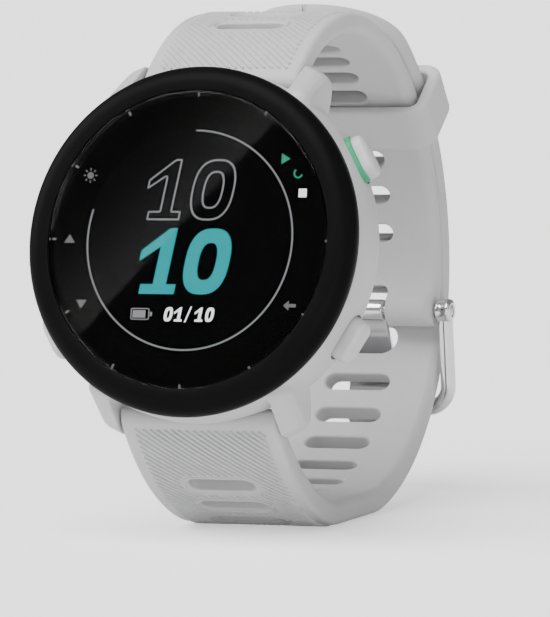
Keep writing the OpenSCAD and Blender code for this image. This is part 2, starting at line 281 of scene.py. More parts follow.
def stadium(length, width, n=12):
    """A slot's outline: long in the first coordinate, round at both ends."""
    r, reach = width / 2, (length - width) / 2
    right = [(reach + r * math.cos(a), r * math.sin(a)) for a in np.linspace(-math.pi / 2, math.pi / 2, n)]
    return right + [(-x, -y) for x, y in right]


def rounded(corners, radius, n=5):
    """A closed outline with its corners rounded; radius is one number or one for each corner."""
    count = len(corners)
    radii = radius if isinstance(radius, (list, tuple)) else [radius] * count
    points = []
    for i in range(count):
        p = Vector(corners[i])
        a = (Vector(corners[i - 1]) - p).normalized()
        b = (Vector(corners[(i + 1) % count]) - p).normalized()
        half = a.angle(b) / 2
        reach = radii[i] / math.tan(half)
        centre = p + (a + b).normalized() * radii[i] / math.sin(half)
        start, end = (p + a * reach - centre).normalized(), (p + b * reach - centre).normalized()
        for k in range(n + 1):
            points.append(tuple(centre + start.slerp(end, k / n) * radii[i]))
    return points


def scaled_loop(loop, inset):
    """A closed loop moved inwards by a distance."""
    count = len(loop)
    area = sum(loop[i - 1][0] * loop[i][1] - loop[i][0] * loop[i - 1][1] for i in range(count))
    turn = 1 if area > 0 else -1
    result = []
    for i in range(count):
        a = Vector(loop[i]) - Vector(loop[i - 1])
        b = Vector(loop[(i + 1) % count]) - Vector(loop[i])
        t = a.normalized() + b.normalized()
        t.normalize()
        result.append((loop[i][0] - turn * t.y * inset, loop[i][1] + turn * t.x * inset))
    return result


def quarter(r, n):
    """(inset, depth) round an edge of radius r, from the face to the side."""
    angles = np.linspace(0, math.pi / 2, n + 1)
    return [(r * (1 - math.sin(a)), r * (1 - math.cos(a))) for a in angles]


def pad(loop, low, high, edge, n):
    """A plate with rounded rims: the loop stacked along z."""
    rim = quarter(edge, n)
    stack = [(inset, low + depth) for inset, depth in rim]
    stack += [(inset, high - depth) for inset, depth in reversed(rim)]
    return Shell().rings([[(x, y, z) for x, y in scaled_loop(loop, inset)] for inset, z in stack])


def tube(points, r, n, closed=False):
    """A round bar along points."""
    points = [Vector(p) for p in points]
    count = len(points)
    rings = []
    side = None
    for i, p in enumerate(points):
        before = points[i - 1] if i or closed else p
        after = points[(i + 1) % count] if i + 1 < count or closed else p
        along = (after - before).normalized()
        if side is None:
            side = along.orthogonal().normalized()
        side = (side - along * side.dot(along)).normalized()
        up = along.cross(side)
        rings.append([p + side * x + up * y for x, y in circle(r, n)])
    return Shell().rings(rings, closed)


def radial(angle, depth):
    """The matrix that puts x outwards at an angle round the dial, at a depth behind the lens."""
    return HEAD @ Matrix.Rotation(math.radians(angle), 4, "Z") @ Matrix.Translation((0, 0, -depth))


# ---------------- materials


def shader(name, color, roughness, metallic=0.0, **more):
    """A Principled material with a fine grain in its colour, roughness and surface.

    grain is the size of the surface grain in mm and relief its height; mottle is the change of colour;
    any other value sets the shader's socket of that name."""
    grain = more.pop("grain", 0.25)
    relief = more.pop("relief", 0.004)
    mottle = more.pop("mottle", 0.05)
    spread = more.pop("spread", 0.08)
    m = bpy.data.materials.new(name)
    m.use_nodes = True
    nodes, links = m.node_tree.nodes, m.node_tree.links
    bsdf = nodes["Principled BSDF"]
    bsdf.inputs["Metallic"].default_value = metallic
    for key, value in more.items():
        bsdf.inputs[key.replace("_", " ")].default_value = value
    place = nodes.new("ShaderNodeTexCoord")

    def noise(size, detail):
        n = nodes.new("ShaderNodeTexNoise")
        n.inputs["Scale"].default_value = 1 / (size * MM)
        n.inputs["Detail"].default_value = detail
        links.new(place.outputs["Object"], n.inputs["Vector"])
        return n

    fine, broad = noise(grain, 3), noise(6, 2)
    tone = nodes.new("ShaderNodeValToRGB")
    tone.color_ramp.elements[0].position = 0.3
    tone.color_ramp.elements[1].position = 0.7
    tone.color_ramp.elements[0].color = (*[c * (1 - mottle) for c in color], 1)
    tone.color_ramp.elements[1].color = (*[min(1, c * (1 + mottle)) for c in color], 1)
    links.new(broad.outputs["Fac"], tone.inputs["Fac"])
    links.new(tone.outputs["Color"], bsdf.inputs["Base Color"])
    rough = nodes.new("ShaderNodeMapRange")
    rough.inputs["To Min"].default_value = max(0.02, roughness - spread)
    rough.inputs["To Max"].default_value = min(1, roughness + spread)
    links.new(fine.outputs["Fac"], rough.inputs["Value"])
    links.new(rough.outputs["Result"], bsdf.inputs["Roughness"])
    bump = nodes.new("ShaderNodeBump")
    bump.inputs["Distance"].default_value = relief * MM
    bump.inputs["Strength"].default_value = 1.0
    links.new(fine.outputs["Fac"], bump.inputs["Height"])
    links.new(bump.outputs["Normal"], bsdf.inputs["Normal"])
    return m


def brushed(name, color, roughness, direction):
    """Metal with fine lines along one direction of the part's frame."""
    m = shader(name, color, roughness, 1.0, grain=0.3, relief=0.0, mottle=0.03)
    nodes, links = m.node_tree.nodes, m.node_tree.links
    place = next(n for n in nodes if n.type == "TEX_COORD")
    stretch = nodes.new("ShaderNodeMapping")
    stretch.inputs["Scale"].default_value = [0.04 if k == direction else 1 for k in range(3)]
    lines = nodes.new("ShaderNodeTexNoise")
    lines.inputs["Scale"].default_value = 1 / (0.08 * MM)
    links.new(place.outputs["Object"], stretch.inputs["Vector"])
    links.new(stretch.outputs["Vector"], lines.inputs["Vector"])
    bump = next(n for n in nodes if n.type == "BUMP")
    bump.inputs["Distance"].default_value = 0.002 * MM
    links.new(lines.outputs["Fac"], bump.inputs["Height"])
    return m


def glowing(name, color, strength):
    """A dark surface that gives its own light."""
    m = shader(name, [c * 0.02 for c in color], 0.5, mottle=0.0, relief=0.0, Specular_IOR_Level=0.1)
    bsdf = m.node_tree.nodes["Principled BSDF"]
    bsdf.inputs["Emission Color"].default_value = (*color, 1)
    bsdf.inputs["Emission Strength"].default_value = strength
    return m


def clear(name, color, ior):
    """Polished glass or clear plastic."""
    m = shader(name, color, 0.02, grain=20, relief=0, mottle=0, spread=0.0)
    bsdf = m.node_tree.nodes["Principled BSDF"]
    links = m.node_tree.links
    for socket in ("Roughness", "Normal"):
        links.remove(bsdf.inputs[socket].links[0])
    bsdf.inputs["Roughness"].default_value = 0.0
    bsdf.inputs["Transmission Weight"].default_value = 1
    bsdf.inputs["IOR"].default_value = ior
    return m


MATERIALS = {
    "case_shell": shader("case_satin", (0.5, 0.5, 0.505), 0.42, grain=0.12, relief=0.006, mottle=0.02),
    "cap": shader("cap_satin", (0.53, 0.53, 0.535), 0.34, grain=0.12, relief=0.004, mottle=0.02),
    "cover": shader("cover_satin", (0.48, 0.48, 0.485), 0.45, grain=0.12, relief=0.006, mottle=0.02),
    "bezel": shader("bezel_satin", (0.0035, 0.0035, 0.0038), 0.42, grain=0.1, relief=0.004, mottle=0.1,
                    Specular_IOR_Level=0.035),
    "lens": clear("lens_glass", (1, 1, 1), 1.16),
    "display": shader("display_black", (0.0006, 0.0006, 0.0008), 0.5, relief=0.0, Specular_IOR_Level=0.0),
    "black_plastic": shader("black_ink", (0.0006, 0.0006, 0.0006), 0.6, relief=0.0, Specular_IOR_Level=0.0),
    "band": shader("band_silicone", (0.48, 0.48, 0.485), 0.62, grain=0.08, relief=0.008, mottle=0.025,
                   Sheen_Weight=0.15, Sheen_Roughness=0.5),
    "buckle_steel": shader("polished_steel", (0.72, 0.72, 0.73), 0.12, 1.0, grain=0.5, relief=0.001,
                           spread=0.04),
    "steel": brushed("turned_steel", (0.62, 0.62, 0.64), 0.28, 0),
    "screw": brushed("screw_steel", (0.6, 0.6, 0.62), 0.3, 0),
    "window": clear("window_glass", (0.4, 0.4, 0.43), 1.35),
    "accent": shader("accent_green", (0.015, 0.28, 0.14), 0.4, grain=0.1, relief=0.004, mottle=0.06),
    "seal": shader("seal_rubber", (0.02, 0.02, 0.02), 0.7, relief=0.01),
    "carrier": shader("carrier_nylon", (0.12, 0.12, 0.12), 0.6, relief=0.01),
    "flex": shader("flex_film", (0.55, 0.28, 0.06), 0.35, relief=0.002),
    "board": shader("board_mask", (0.015, 0.13, 0.055), 0.35, grain=0.6, relief=0.01, mottle=0.15),
    "chip_black": shader("chip_epoxy", (0.025, 0.025, 0.03), 0.55, relief=0.01),
    "shield": brushed("shield_tin", (0.6, 0.6, 0.62), 0.35, 0),
    "antenna": brushed("antenna_copper", (0.75, 0.42, 0.2), 0.3, 1),
    "battery": shader("battery_pouch", (0.45, 0.47, 0.5), 0.3, 0.6, grain=0.8, relief=0.02),
    "motor": brushed("motor_case", (0.6, 0.6, 0.6), 0.3, 2),
    "brass": brushed("gilt_contact", (0.83, 0.62, 0.26), 0.22, 0),
    "led": shader("led_epoxy", (0.2, 0.75, 0.3), 0.2, relief=0.0, Emission_Color=(0.05, 0.8, 0.25, 1),
                  Emission_Strength=1.2),
}
WHITE_GLOW = glowing("display_white", (0.85, 0.86, 0.88), 2.0)
GREY_GLOW = glowing("display_grey", (0.30, 0.31, 0.32), 1.0)
# Printed ticks and signs under the lens, given a painted glow so that they read bright; ink gives no light.
DIM_GLOW = glowing("print_grey_painted_glow", (0.19, 0.19, 0.195), 1.0)
TEAL_GLOW = glowing("display_teal", (0.0, 0.42, 0.45), 1.0)
# The green print by START, also given a painted glow.
GREEN_GLOW = glowing("print_green_painted_glow", (0.02, 0.30, 0.16), 1.2)


# ---------------- the band


def polar(centre, r, angle):
    """The point of the side view at an angle round a centre."""
    a = math.radians(angle)
    return centre[0] + r * math.cos(a), centre[1] + r * math.sin(a)


# The spacing of the points along the band's path.
STEP = 0.1


def arc(centre, first, last, radius, end_radius=None):
    """Points of an arc in the side view; its radius may change evenly along it."""
    count = max(2, int(math.radians(abs(last - first)) * radius / STEP))
    t = np.linspace(0, 1, count + 1)
    r = radius + ((end_radius or radius) - radius) * t
    a = np.radians(first + (last - first) * t)
    return np.column_stack((centre[0] + r * np.cos(a), centre[1] + r * np.sin(a)))


class Path:
    """The band's outer face in the side view, by length from its lug. turn is 1 where the angle grows."""

    def __init__(self, arcs, turn):
        points = np.concatenate(arcs)
        gaps = np.linalg.norm(np.diff(points, axis=0), axis=1)
        points = points[np.r_[True, gaps > 1e-3]]
        run = np.r_[0, np.cumsum(np.linalg.norm(np.diff(points, axis=0), axis=1))]
        self.length = run[-1]
        self.turn = turn
        self.s = np.linspace(0, self.length, int(self.length / STEP))
        self.p = [np.interp(self.s, run, points[:, k]) for k in (0, 1)]
        window = 15
        slopes = [np.pad(np.gradient(p, self.s), window // 2, "edge") for p in self.p]
        self.t = [np.convolve(slope, np.ones(window) / window, "valid") for slope in slopes]

    def place(self, p):
        """From (x, s, depth) to the part's frame."""
        x, s, depth = p
        at = min(max(s, 0), self.length)
        y, z, ty, tz = [np.interp(at, self.s, k) for k in (*self.p, *self.t)]
        size = math.hypot(ty, tz)
        ty, tz = ty / size, tz / size
        beyond = s - at
        return x, y + ty * beyond - self.turn * tz * depth, z + tz * beyond + self.turn * ty * depth

    def find(self, point):
        """The length along the band that lies nearest to a point of the side view."""
        return float(self.s[np.argmin((self.p[0] - point[0]) ** 2 + (self.p[1] - point[1]) ** 2)])


def from_dial(y, z):
    return DIAL.y + y, DIAL.z + z


# The arcs of the band's outer face: their centres and radii, and the angles where they meet.
FRONT, FRONT_R = from_dial(28.4, -6.7), 30.6
BACK, BACK_R = from_dial(30.97, -5.75), 31.0
TOP, TOP_R = from_dial(28.93, 0.03), 25.5
TAIL_C, TAIL_R = (TAIL.y, TAIL.z), 34.8
INNER = BAND_T + LAYER_GAP
HEEL = 12.0
ROOT_LOW, ROOT_HIGH = 211.7, 131.5
JOIN, TOP_JOIN, TAIL_END = 6.8, 74.5, 70.0
PIN_ANGLE = -16.5
COVERED_ANGLE = 64


def heel(centre, radius, side):
    """Where an arc runs into the flat through a smaller one: the small arc's centre and its first angle."""
    rise = centre[1] - HEEL
    y = centre[0] + side * math.sqrt((radius - HEEL) ** 2 - rise ** 2)
    return (y, HEEL), math.degrees(math.atan2(-rise, y - centre[0])) % 360


FRONT_HEEL, FRONT_HEEL_A = heel(FRONT, FRONT_R, -1)
BACK_HEEL, BACK_HEEL_A = heel(BACK, BACK_R, 1)

LOWER = Path([
    arc(FRONT, ROOT_LOW, FRONT_HEEL_A, FRONT_R),
    arc(FRONT_HEEL, FRONT_HEEL_A, 270, HEEL),
    arc(BACK_HEEL, 270, BACK_HEEL_A, HEEL),
    arc(BACK, BACK_HEEL_A, 360 + JOIN, BACK_R),
    arc(TAIL_C, JOIN, TAIL_END, TAIL_R),
], 1)
TOP_END = [a - b for a, b in zip(polar(TOP, TOP_R, TOP_JOIN), TAIL_C)]
UPPER = Path([
    arc(TOP, ROOT_HIGH, TOP_JOIN, TOP_R),
    arc(TAIL_C, TOP_JOIN, JOIN, math.hypot(*TOP_END), TAIL_R - INNER),
    arc(BACK, JOIN, PIN_ANGLE, BACK_R - INNER),
], -1)


def lower_slots():
    """(length along the band, height) of each slot in the lower half."""
    places = [polar(FRONT, FRONT_R, a) for a in (231, 240.6, 250.2)]
    places += [(y, 0) for y in (-2.55, 2.55, 7.65)]
    places += [polar(BACK, BACK_R, -76 + 10.2 * k) for k in range(5)]
    places += [polar(BACK, BACK_R, a) for a in (-13, -3.5, 6)]
    places += [polar(TAIL_C, TAIL_R, 14.5 + 8.6 * k) for k in range(5)]
    return [(LOWER.find(p), SLOT_H) for p in places] + [(LOWER.find(polar(BACK, BACK_R, -22.9)), 4.2)]


def upper_slots():
    """The same for the upper half."""
    places = [polar(TOP, TOP_R, a) for a in (107.3, 95.8, 84.3)]
    places += [polar(TAIL_C, TAIL_R - INNER, 5.5 + 9.6 * k) for k in range(4)]
    places += [polar(TAIL_C, TAIL_R - INNER, 43.9 + 7.2 * k) for k in range(5)]
    return [(UPPER.find(p), SLOT_H) for p in places]


def rim_levels(thickness):
    """(inset, depth) round the band's long edges, from its outer face to its inner one."""
    inner = [(inset, thickness - depth) for inset, depth in quarter(INNER_ROUND, 6)]
    return quarter(OUTER_ROUND, 6) + inner[::-1]


def across(levels, half, s, squash=1.0, middle=0.0):
    """One ring of the band at s; squash draws it towards a middle depth."""
    right = [(half - inset, s, middle + (depth - middle) * squash) for inset, depth in levels]
    return right + [(-x, y, z) for x, y, z in reversed(right)]


ROUNDING = [math.radians(a) for a in (14, 28, 42, 56, 70, 82)]


def band_blank(path, bar_depth, thickness, end):
    """The half band before its slots, in the flat frame. The root goes round the spring bar."""
    half = BAND_W / 2
    root = rim_levels(thickness(0))
    rings = [across(root, half, -ROOT_REACH * math.sin(a), math.cos(a), bar_depth)
             for a in reversed(ROUNDING)]
    last = path.length - (half if end == "tip" else 0)
    for s in np.linspace(0, last, int(last / 0.45)):
        rings.append(across(rim_levels(thickness(s)), half, s))
    levels = rim_levels(thickness(path.length))
    if end == "tip":
        for a in np.radians(np.linspace(4, 88, 22)):
            right = [((half - i) * math.cos(a), last + (half - i) * math.sin(a), d) for i, d in levels]
            rings.append(right + [(-x, y, z) for x, y, z in reversed(right)])
    else:
        for a in ROUNDING:
            rings.append(across(levels, half, last + KNUCKLE_R * math.sin(a), math.cos(a), KNUCKLE_R))
    return Shell().rings(rings)


def slot_cutters(slots, thickness):
    """Slots with rounded lips on both faces, in the flat frame."""
    cutters = Shell()
    beyond, skin = 1.0, 0.01
    turns = np.radians((0, 25, 45, 65, 90))
    lip = [(skin + LIP * (1 - math.cos(a)), LIP * (1 - math.sin(a))) for a in turns]
    for s, height in slots:
        t = thickness(s)
        stack = [(-beyond, LIP), *lip]
        stack += [(t - skin - depth, out) for depth, out in reversed(lip)]
        stack.append((t + beyond, LIP))
        cutters.rings([[(x, s + y, depth) for x, y in stadium(SLOT_L + 2 * out, height + 2 * out)]
                       for depth, out in stack])
    return cutters


def near_slot(x, s, slots, extra):
    """Whether a point of the outer face lies in a slot or within extra of one."""
    for centre, height in slots:
        reach = (SLOT_L - height) / 2
        if math.hypot(max(abs(x) - reach, 0), s - centre) < height / 2 + extra:
            return True
    return False


def ribs(path, slots, direction, first, last, tip):
    """Fine diagonal ribs on the outer face, which stop short of the edges and of the slots' rims.

    Beyond tip they keep to a half circle."""
    half = BAND_W / 2 - RIB_MARGIN
    lean = math.sqrt(0.5)
    flank = [(0.5, 0.1), (0.42, -0.35 * RIB_H), (0.26, -RIB_H)]
    section = [(-u, d) for u, d in flank] + flank[::-1]
    room = LIP + 2 * RIM_R + RIB_W * 0.4
    shortest = 8
    result = Shell()
    start = first - 2 * half
    while start < last:
        spans, run = [], []
        for t in np.arange(0, 2 * half / lean, 0.15):
            x, s = direction * (-half + t * lean), start + t * lean
            beyond = max(0, s - tip)
            if first < s < last and math.hypot(x, beyond) < half and not near_slot(x, s, slots, room):
                run.append((x, s))
            elif run:
                spans.append(run)
                run = []
        spans.append(run)
        for span in spans:
            if len(span) < shortest:
                continue
            picks = sorted({0, 1, len(span) - 2, len(span) - 1, *range(1, len(span) - 1, 5)})
            rings = []
            for i in picks:
                x, s = span[i]
                size = 0.35 if i in (0, len(span) - 1) else 1.0
                rings.append([path.place((x + u * RIB_W * lean * direction, s - u * RIB_W * lean,
                                          d if d > 0 else d * size)) for u, d in section])
            result.rings(rings)
        start += RIB_PITCH / lean
    return result


def slot_rims(path, slots):
    """A thin raised rim round each slot on the outer face."""
    result = Shell()
    for s, height in slots:
        loop = stadium(SLOT_L + 2 * (LIP + RIM_R), height + 2 * (LIP + RIM_R), 10)
        result.add(tube([path.place((x, s + y, 0.04)) for x, y in loop], RIM_R, 8, True))
    return result


def across_rod(r, centre, half, n=48):
    """A plain rod across the band, for bores."""
    return bar([(-half, r), (half, r)], n, centre)


def knob_slot(side):
    """Room for the quick-release knob, on the wrist side."""
    plate = rounded(rectangle(5.0, -0.7, 8.4, 0.7), 0.35)
    return Shell().rings([[HEAD @ Vector((x, side * LUG_V + v, -BAR_DEPTH - z)) for x, v in plate]
                          for z in (0, 4)])


def lower_strap():
    """The long half, from the lower lugs round to the tip above the keeper."""
    slots = lower_slots()
    thin_from, thin_to = LOWER.find(polar(BACK, BACK_R, -75)), LOWER.find(polar(BACK, BACK_R, -30))

    def thickness(s):
        return ROOT_T + (BAND_T - ROOT_T) * min(max((s - thin_from) / (thin_to - thin_from), 0), 1)

    strap = cut(band_blank(LOWER, LOWER_BAR_DEPTH, thickness, "tip"), slot_cutters(slots, thickness))
    strap.mapped(LOWER.place)
    strap = cut(strap, across_rod(PIN_R + 0.03, LOW, 12), knob_slot(-1))
    strap.add(slot_rims(LOWER, slots))
    strap.add(ribs(LOWER, slots, 1, 0.3, LOWER.length, LOWER.length - BAND_W / 2))
    piece("lower_strap", strap, "band", "lower_band", ["lower_strap"])


def upper_strap():
    """The short half, from the upper lugs to the knuckle that holds the buckle's pin."""
    slots = upper_slots()
    end = UPPER.length
    taper_length, swell_from, swell_length = 25, 4.2, 3.6

    def thickness(s):
        taper = UPPER_ROOT_T + (BAND_T - UPPER_ROOT_T) * min(s / taper_length, 1)
        t = min(max((s - end + swell_from) / swell_length, 0), 1)
        return taper + (2 * KNUCKLE_R - BAND_T) * t * t * (3 - 2 * t)

    blank = band_blank(UPPER, UPPER_BAR_DEPTH, thickness, "knuckle")
    strap = cut(blank, slot_cutters(slots, thickness))
    strap.mapped(UPPER.place)
    near, far = end - 3.4, end + 5
    corners = [(-NOTCH_HALF, far), (-NOTCH_HALF, near), (NOTCH_HALF, near), (NOTCH_HALF, far)]
    notch = rounded(corners, [0.2, 1.2, 1.2, 0.2])
    gap = Shell().rings([[UPPER.place((x, s, d)) for x, s in notch] for d in (-3, 8)])
    bores = [across_rod(PIN_R + 0.03, HIGH, 12), across_rod(PIN_R + 0.04, PIN, 12)]
    strap = cut(strap, *bores, knob_slot(1), gap)
    covered = UPPER.find(polar(TAIL_C, TAIL_R - INNER, COVERED_ANGLE))
    strap.add(slot_rims(UPPER, [slot for slot in slots if slot[0] < covered]))
    strap.add(ribs(UPPER, slots, -1, 0.5, covered, end))
    piece("upper_strap", strap, "band", "upper_band", ["upper_strap"])


def keeper():
    """The loop that holds the long half's tail: a soft flat band round both layers."""
    inner, outer = TAIL_R - 2 * BAND_T - LAYER_GAP - 0.35, TAIL_R + 1
    half, wall, length = BAND_W / 2 + 0.4, 1.6, KEEPER_L
    hole = rounded(rectangle(-half, inner, half, outer), 1.0, 8)
    centre = [Vector((x, r)) for x, r in scaled_loop(hole, -wall / 2)]
    angle = math.radians(KEEPER_ANGLE)
    out = Vector((0, math.cos(angle), math.sin(angle)))
    along = Vector((0, -math.sin(angle), math.cos(angle)))
    section = rounded(rectangle(-length / 2, -wall / 2, length / 2, wall / 2), 0.62, 5)
    rings = []
    count = len(centre)
    middle = (inner + outer) / 2
    for i in range(count):
        t = (centre[(i + 1) % count] - centre[i - 1]).normalized()
        normal = Vector((t.y, -t.x))
        ring = []
        for a, w in section:
            q = centre[i] + normal * w
            drop = a * a / 2 / middle
            ring.append(Vector((q.x, TAIL_C[0], TAIL_C[1])) + out * (q.y - drop) + along * a)
        rings.append(ring)
    piece("keeper_loop", Shell().rings(rings, True), "band", "keeper", ["keeper_loop"])


# ---------------- the head


def lug(side, hand):
    """One lug, as slices along x that draw in and grow shorter towards its outer side."""
    outline = [(13.2, -2.9), (18.3, -3.0), (22.3, -8.1), (22.5, -10.1), (21.3, -11.2), (18.6, -10.9),
               (15, -9.8), (13.2, -9.6)]
    loop = rounded([(side * v, z) for v, z in outline], [0.5, 1.0, 0.7, 0.8, 0.9, 1.6, 0.6, 0.6], 4)
    rings = []
    for x, inset, drop in ((10.3, 0.12, 0), (10.42, 0, 0), (11.9, 0, 0), (12.6, 0.2, 0.1), (13.1, 0.7, 0.4)):
        shorter = 0.07 * (x - 10.3)
        rings.append([(hand * x, v - side * shorter * max(0, abs(v) - 16), z - drop)
                      for v, z in scaled_loop(loop, inset)])
    return Shell().rings(rings)


def pocket(angle, extra):
    """The oval recess of a button in the case wall, flared at its mouth."""
    loop = stadium(CAP_L + extra, CAP_W + extra, 16)
    shell = Shell()
    stack = [(POCKET_FLOOR, 0), (20.75, 0), (21.0, 0.03), (21.25, 0.16), (21.6, 0.3), (24.5, 0.3)]
    shell.rings([[(r, y, z - CAP_DROP) for y, z in scaled_loop(loop, -out)] for r, out in stack])
    return shell.placed(radial(angle, STEM_DEPTH))


def case():
    """The case: a turned body with its lugs blended in, then hollowed and bored."""
    top = [(CASE_R - 0.35, CASE_TOP), (CASE_R - 0.1, CASE_TOP - 0.1), (CASE_R, CASE_TOP - 0.35)]
    wall = [(CASE_R + 0.12, -3.9), (WALL_R, -5.4), (WALL_R, -8.5), (WALL_R - 0.25, -9.2),
            (WALL_R - 0.9, -9.7)]
    body = lathe([*top, *wall, (WALL_R - 1.5, CASE_BOTTOM)])
    for side in (-1, 1):
        for hand in (-1, 1):
            body.add(lug(side, hand))
    soft = worked(body, [
        ("REMESH", {"mode": "VOXEL", "voxel_size": 0.2}),
        ("SMOOTH", {"factor": 0.5, "iterations": 7}),
    ]).placed(HEAD)
    cavity = lathe([(17.2, 0), (17.2, -7.9), (16, -7.9), (16, -8.7), (COVER_R + 0.05, -8.7),
                    (COVER_R + 0.05, -12)])
    cutters = [cavity.placed(HEAD)]
    root_room, bar_bore, bar_half = 1.95, 0.5, 11.9
    for side in (-1, 1):
        hinge = HIGH if side > 0 else LOW
        cutters.append(across_rod(root_room, hinge, BAND_W / 2 + 0.15))
        cutters.append(across_rod(bar_bore, hinge, bar_half, 24))
    for angle in BUTTONS.values():
        cutters.append(pocket(angle, 0.5))
        cutters.append(bar([(16, 0.74), (20.5, 0.74)], 32).placed(radial(angle, STEM_DEPTH)))
    cutters.append(collar_space(0.94, 24))
    shell = cut(soft, *cutters)
    piece("case_body", shell, "case_shell", "watch_head", ["case_body"], 40)


def collar_space(extra, reach):
    """The front half of an oval round the START cap."""
    loop = [(y, z - CAP_DROP) for y, z in stadium(CAP_L + extra, CAP_W + extra, 24)]
    front = [(y, z) for y, z in loop if z > -0.3]
    front.sort(key=lambda p: -p[0])
    ends = [(front[-1][0], -0.3), (front[0][0], -0.3)]
    rings = [[(r, y, z) for y, z in front + ends] for r in (POCKET_FLOOR + 0.5, reach)]
    return Shell().rings(rings).placed(radial(BUTTONS["start"], STEM_DEPTH))


def accent():
    """The coloured collar round the front half of the START cap, rounded where it stands proud."""
    middle = stadium(CAP_L + 0.5, CAP_W + 0.5, 40)
    line = sorted([(y, z - CAP_DROP) for y, z in middle if z - CAP_DROP > -0.25], key=lambda p: p[0])
    half = 0.19
    inner, outer = POCKET_FLOOR + 0.6, WALL_R + 0.5
    rings = []
    count = len(line)
    for i, (y, z) in enumerate(line):
        a, b = Vector(line[max(i - 1, 0)]), Vector(line[min(i + 1, count - 1)])
        t = (b - a).normalized()
        normal = Vector((-t.y, t.x))
        section = [(inner, -half), (outer - 0.12, -half), (outer, -half + 0.12), (outer, half - 0.12),
                   (outer - 0.12, half), (inner, half)]
        rings.append([(r, y + normal.x * w, z + normal.y * w) for r, w in section])
    shell = Shell().rings(rings).placed(radial(BUTTONS["start"], STEM_DEPTH))
    piece("start_accent", shell, "accent", "watch_head", ["start_accent"])


def caps():
    """Oval domed button caps that follow the case's curve, each with its stem."""
    loop = stadium(CAP_L, CAP_W, 20)
    stack = [(20.2, 0.06), (20.3, 0), (22.35, 0), (22.62, 0.06), (22.82, 0.2), (22.95, 0.42), (23.03, 0.7),
             (23.09, 1.0), (23.12, 1.25)]
    stem = bar([(16.2, 0.6), (16.3, 0.69), (20.4, 0.69)], 32)
    for name, angle in BUTTONS.items():
        shell = Shell().rings([[(r - y * y / 2 / CASE_R * 0.6, y, z - CAP_DROP)
                                for y, z in scaled_loop(loop, inset)] for r, inset in stack])
        shell = shell.add(stem).placed(radial(angle, STEM_DEPTH))
        piece(name + "_cap", shell, "cap", name + "_button", [name + "_cap"], 50)


def bezel():
    """The black ring, rolled over at its rim, with a groove below for the antenna."""
    turns = np.radians(np.linspace(88, 0, 14))
    roll = [(BEZEL_R - 2.2 + 2.2 * math.cos(a), -1.9 + 1.9 * math.sin(a)) for a in turns]
    profile = [(17.9, -0.1), (17.96, -0.02), (18.05, 0), (18.5, 0), *roll, (BEZEL_R, -2.5),
               (BEZEL_R - 0.1, -2.62), (BEZEL_R - 0.2, -2.65), (19.25, -2.65), (19.25, -1.9), (17.95, -1.9),
               (17.95, -2.65), (16.9, -2.65), (16.9, -1.25), (17.9, -1.25)]
    head_piece("bezel_ring", lathe(profile, True, 256), "bezel", 40)


def lens():
    """The glass with its flat face and rounded rim, the black mask under it and its gasket."""
    profile = [(LENS_R - 0.5, -0.05), (LENS_R - 0.2, -0.05), (LENS_R - 0.08, -0.09), (LENS_R, -0.22),
               (LENS_R, -1.1)]
    head_piece("lens_glass", lathe(profile, False, 256), "lens")
    mask = lathe([(13.5, -1.19), (17.82, -1.19), (17.82, -1.15), (13.5, -1.15)], True)
    head_piece("lens_mask", mask, "black_plastic")
    gasket = lathe([(17.2, -1.25), (17.8, -1.25), (17.8, -1.2), (17.2, -1.2)], True)
    head_piece("lens_gasket", gasket, "seal")


# ---------------- what the display shows

ART_TOP, ART_BOTTOM = -1.125, -1.14


def flat_loop(loop):
    """A filled flat shape."""
    return prism(loop, ART_BOTTOM, ART_TOP)


def flat_ring(outer, inner):
    """A flat ring between two loops with as many points each."""
    rings = [[(*a, ART_TOP), (*b, ART_TOP), (*b, ART_BOTTOM), (*a, ART_BOTTOM)] for a, b in zip(outer, inner)]
    return Shell().rings(rings, True)


def oval(w, h):
    """An oval between an ellipse and a rectangle."""
    power = 2.6
    points = [[math.copysign(abs(k) ** (2 / power), k) for k in point] for point in circle(1, 64)]
    return [(w / 2 * x, h / 2 * y) for x, y in points]


# How far the top of a figure leans over, as a share of its height.
SLANT = 0.16


def glyph_place(x, y, height):
    """Puts a glyph of unit height at its lower left corner, slanted."""
    return Matrix(((height, height * SLANT, 0, x), (0, height, 0, y), (0, 0, 1, 0), (0, 0, 0, 1)))


def one():
    """A figure 1 with a flag and a foot."""
    width = 0.6
    left, right, foot = width * 0.42, width * 0.78, 0.15
    return [(left - 0.3, 0.66), (left + 0.1, 1.0), (right, 1.0), (right, foot), (right + 0.16, foot),
            (right + 0.16, 0), (left - 0.2, 0), (left - 0.2, foot), (left, foot), (left, 0.72),
            (left - 0.3, 0.5)]


def figures(text, x, y, height, stroke, advance, width):
    """Digits 0 and 1 and a slash, filled; stroke is their weight as a share of the height."""
    shell = Shell()
    for k, mark in enumerate(text):
        place = glyph_place(x + k * advance * height, y, height)
        if mark == "0":
            centre = Matrix.Translation((width / 2, 0.5, 0))
            shell.add(flat_ring(oval(width, 1), oval(width - 2 * stroke, 1 - 2 * stroke)), place @ centre)
        elif mark == "1":
            shell.add(flat_loop(one()), place)
        else:
            shell.add(flat_loop([(0.05, -0.05), (0.16, -0.05), (0.42, 1.05), (0.31, 1.05)]), place)
    return shell


def outlined_figures(x, y, height, stroke, line, advance, width):
    """A 1 and a 0 drawn with a thin line."""
    shell = Shell()
    place = glyph_place(x, y, height)
    contour = rounded(one(), 0.015, 2)
    shell.add(flat_ring(contour, scaled_loop(contour, line)), place)
    place = glyph_place(x + advance * height, y, height) @ Matrix.Translation((width / 2, 0.5, 0))
    shell.add(flat_ring(oval(width, 1), oval(width - 2 * line, 1 - 2 * line)), place)
    inner_w, inner_h = width - 2 * stroke, 1 - 2 * stroke
    shell.add(flat_ring(oval(inner_w + 2 * line, inner_h + 2 * line), oval(inner_w, inner_h)), place)
    return shell


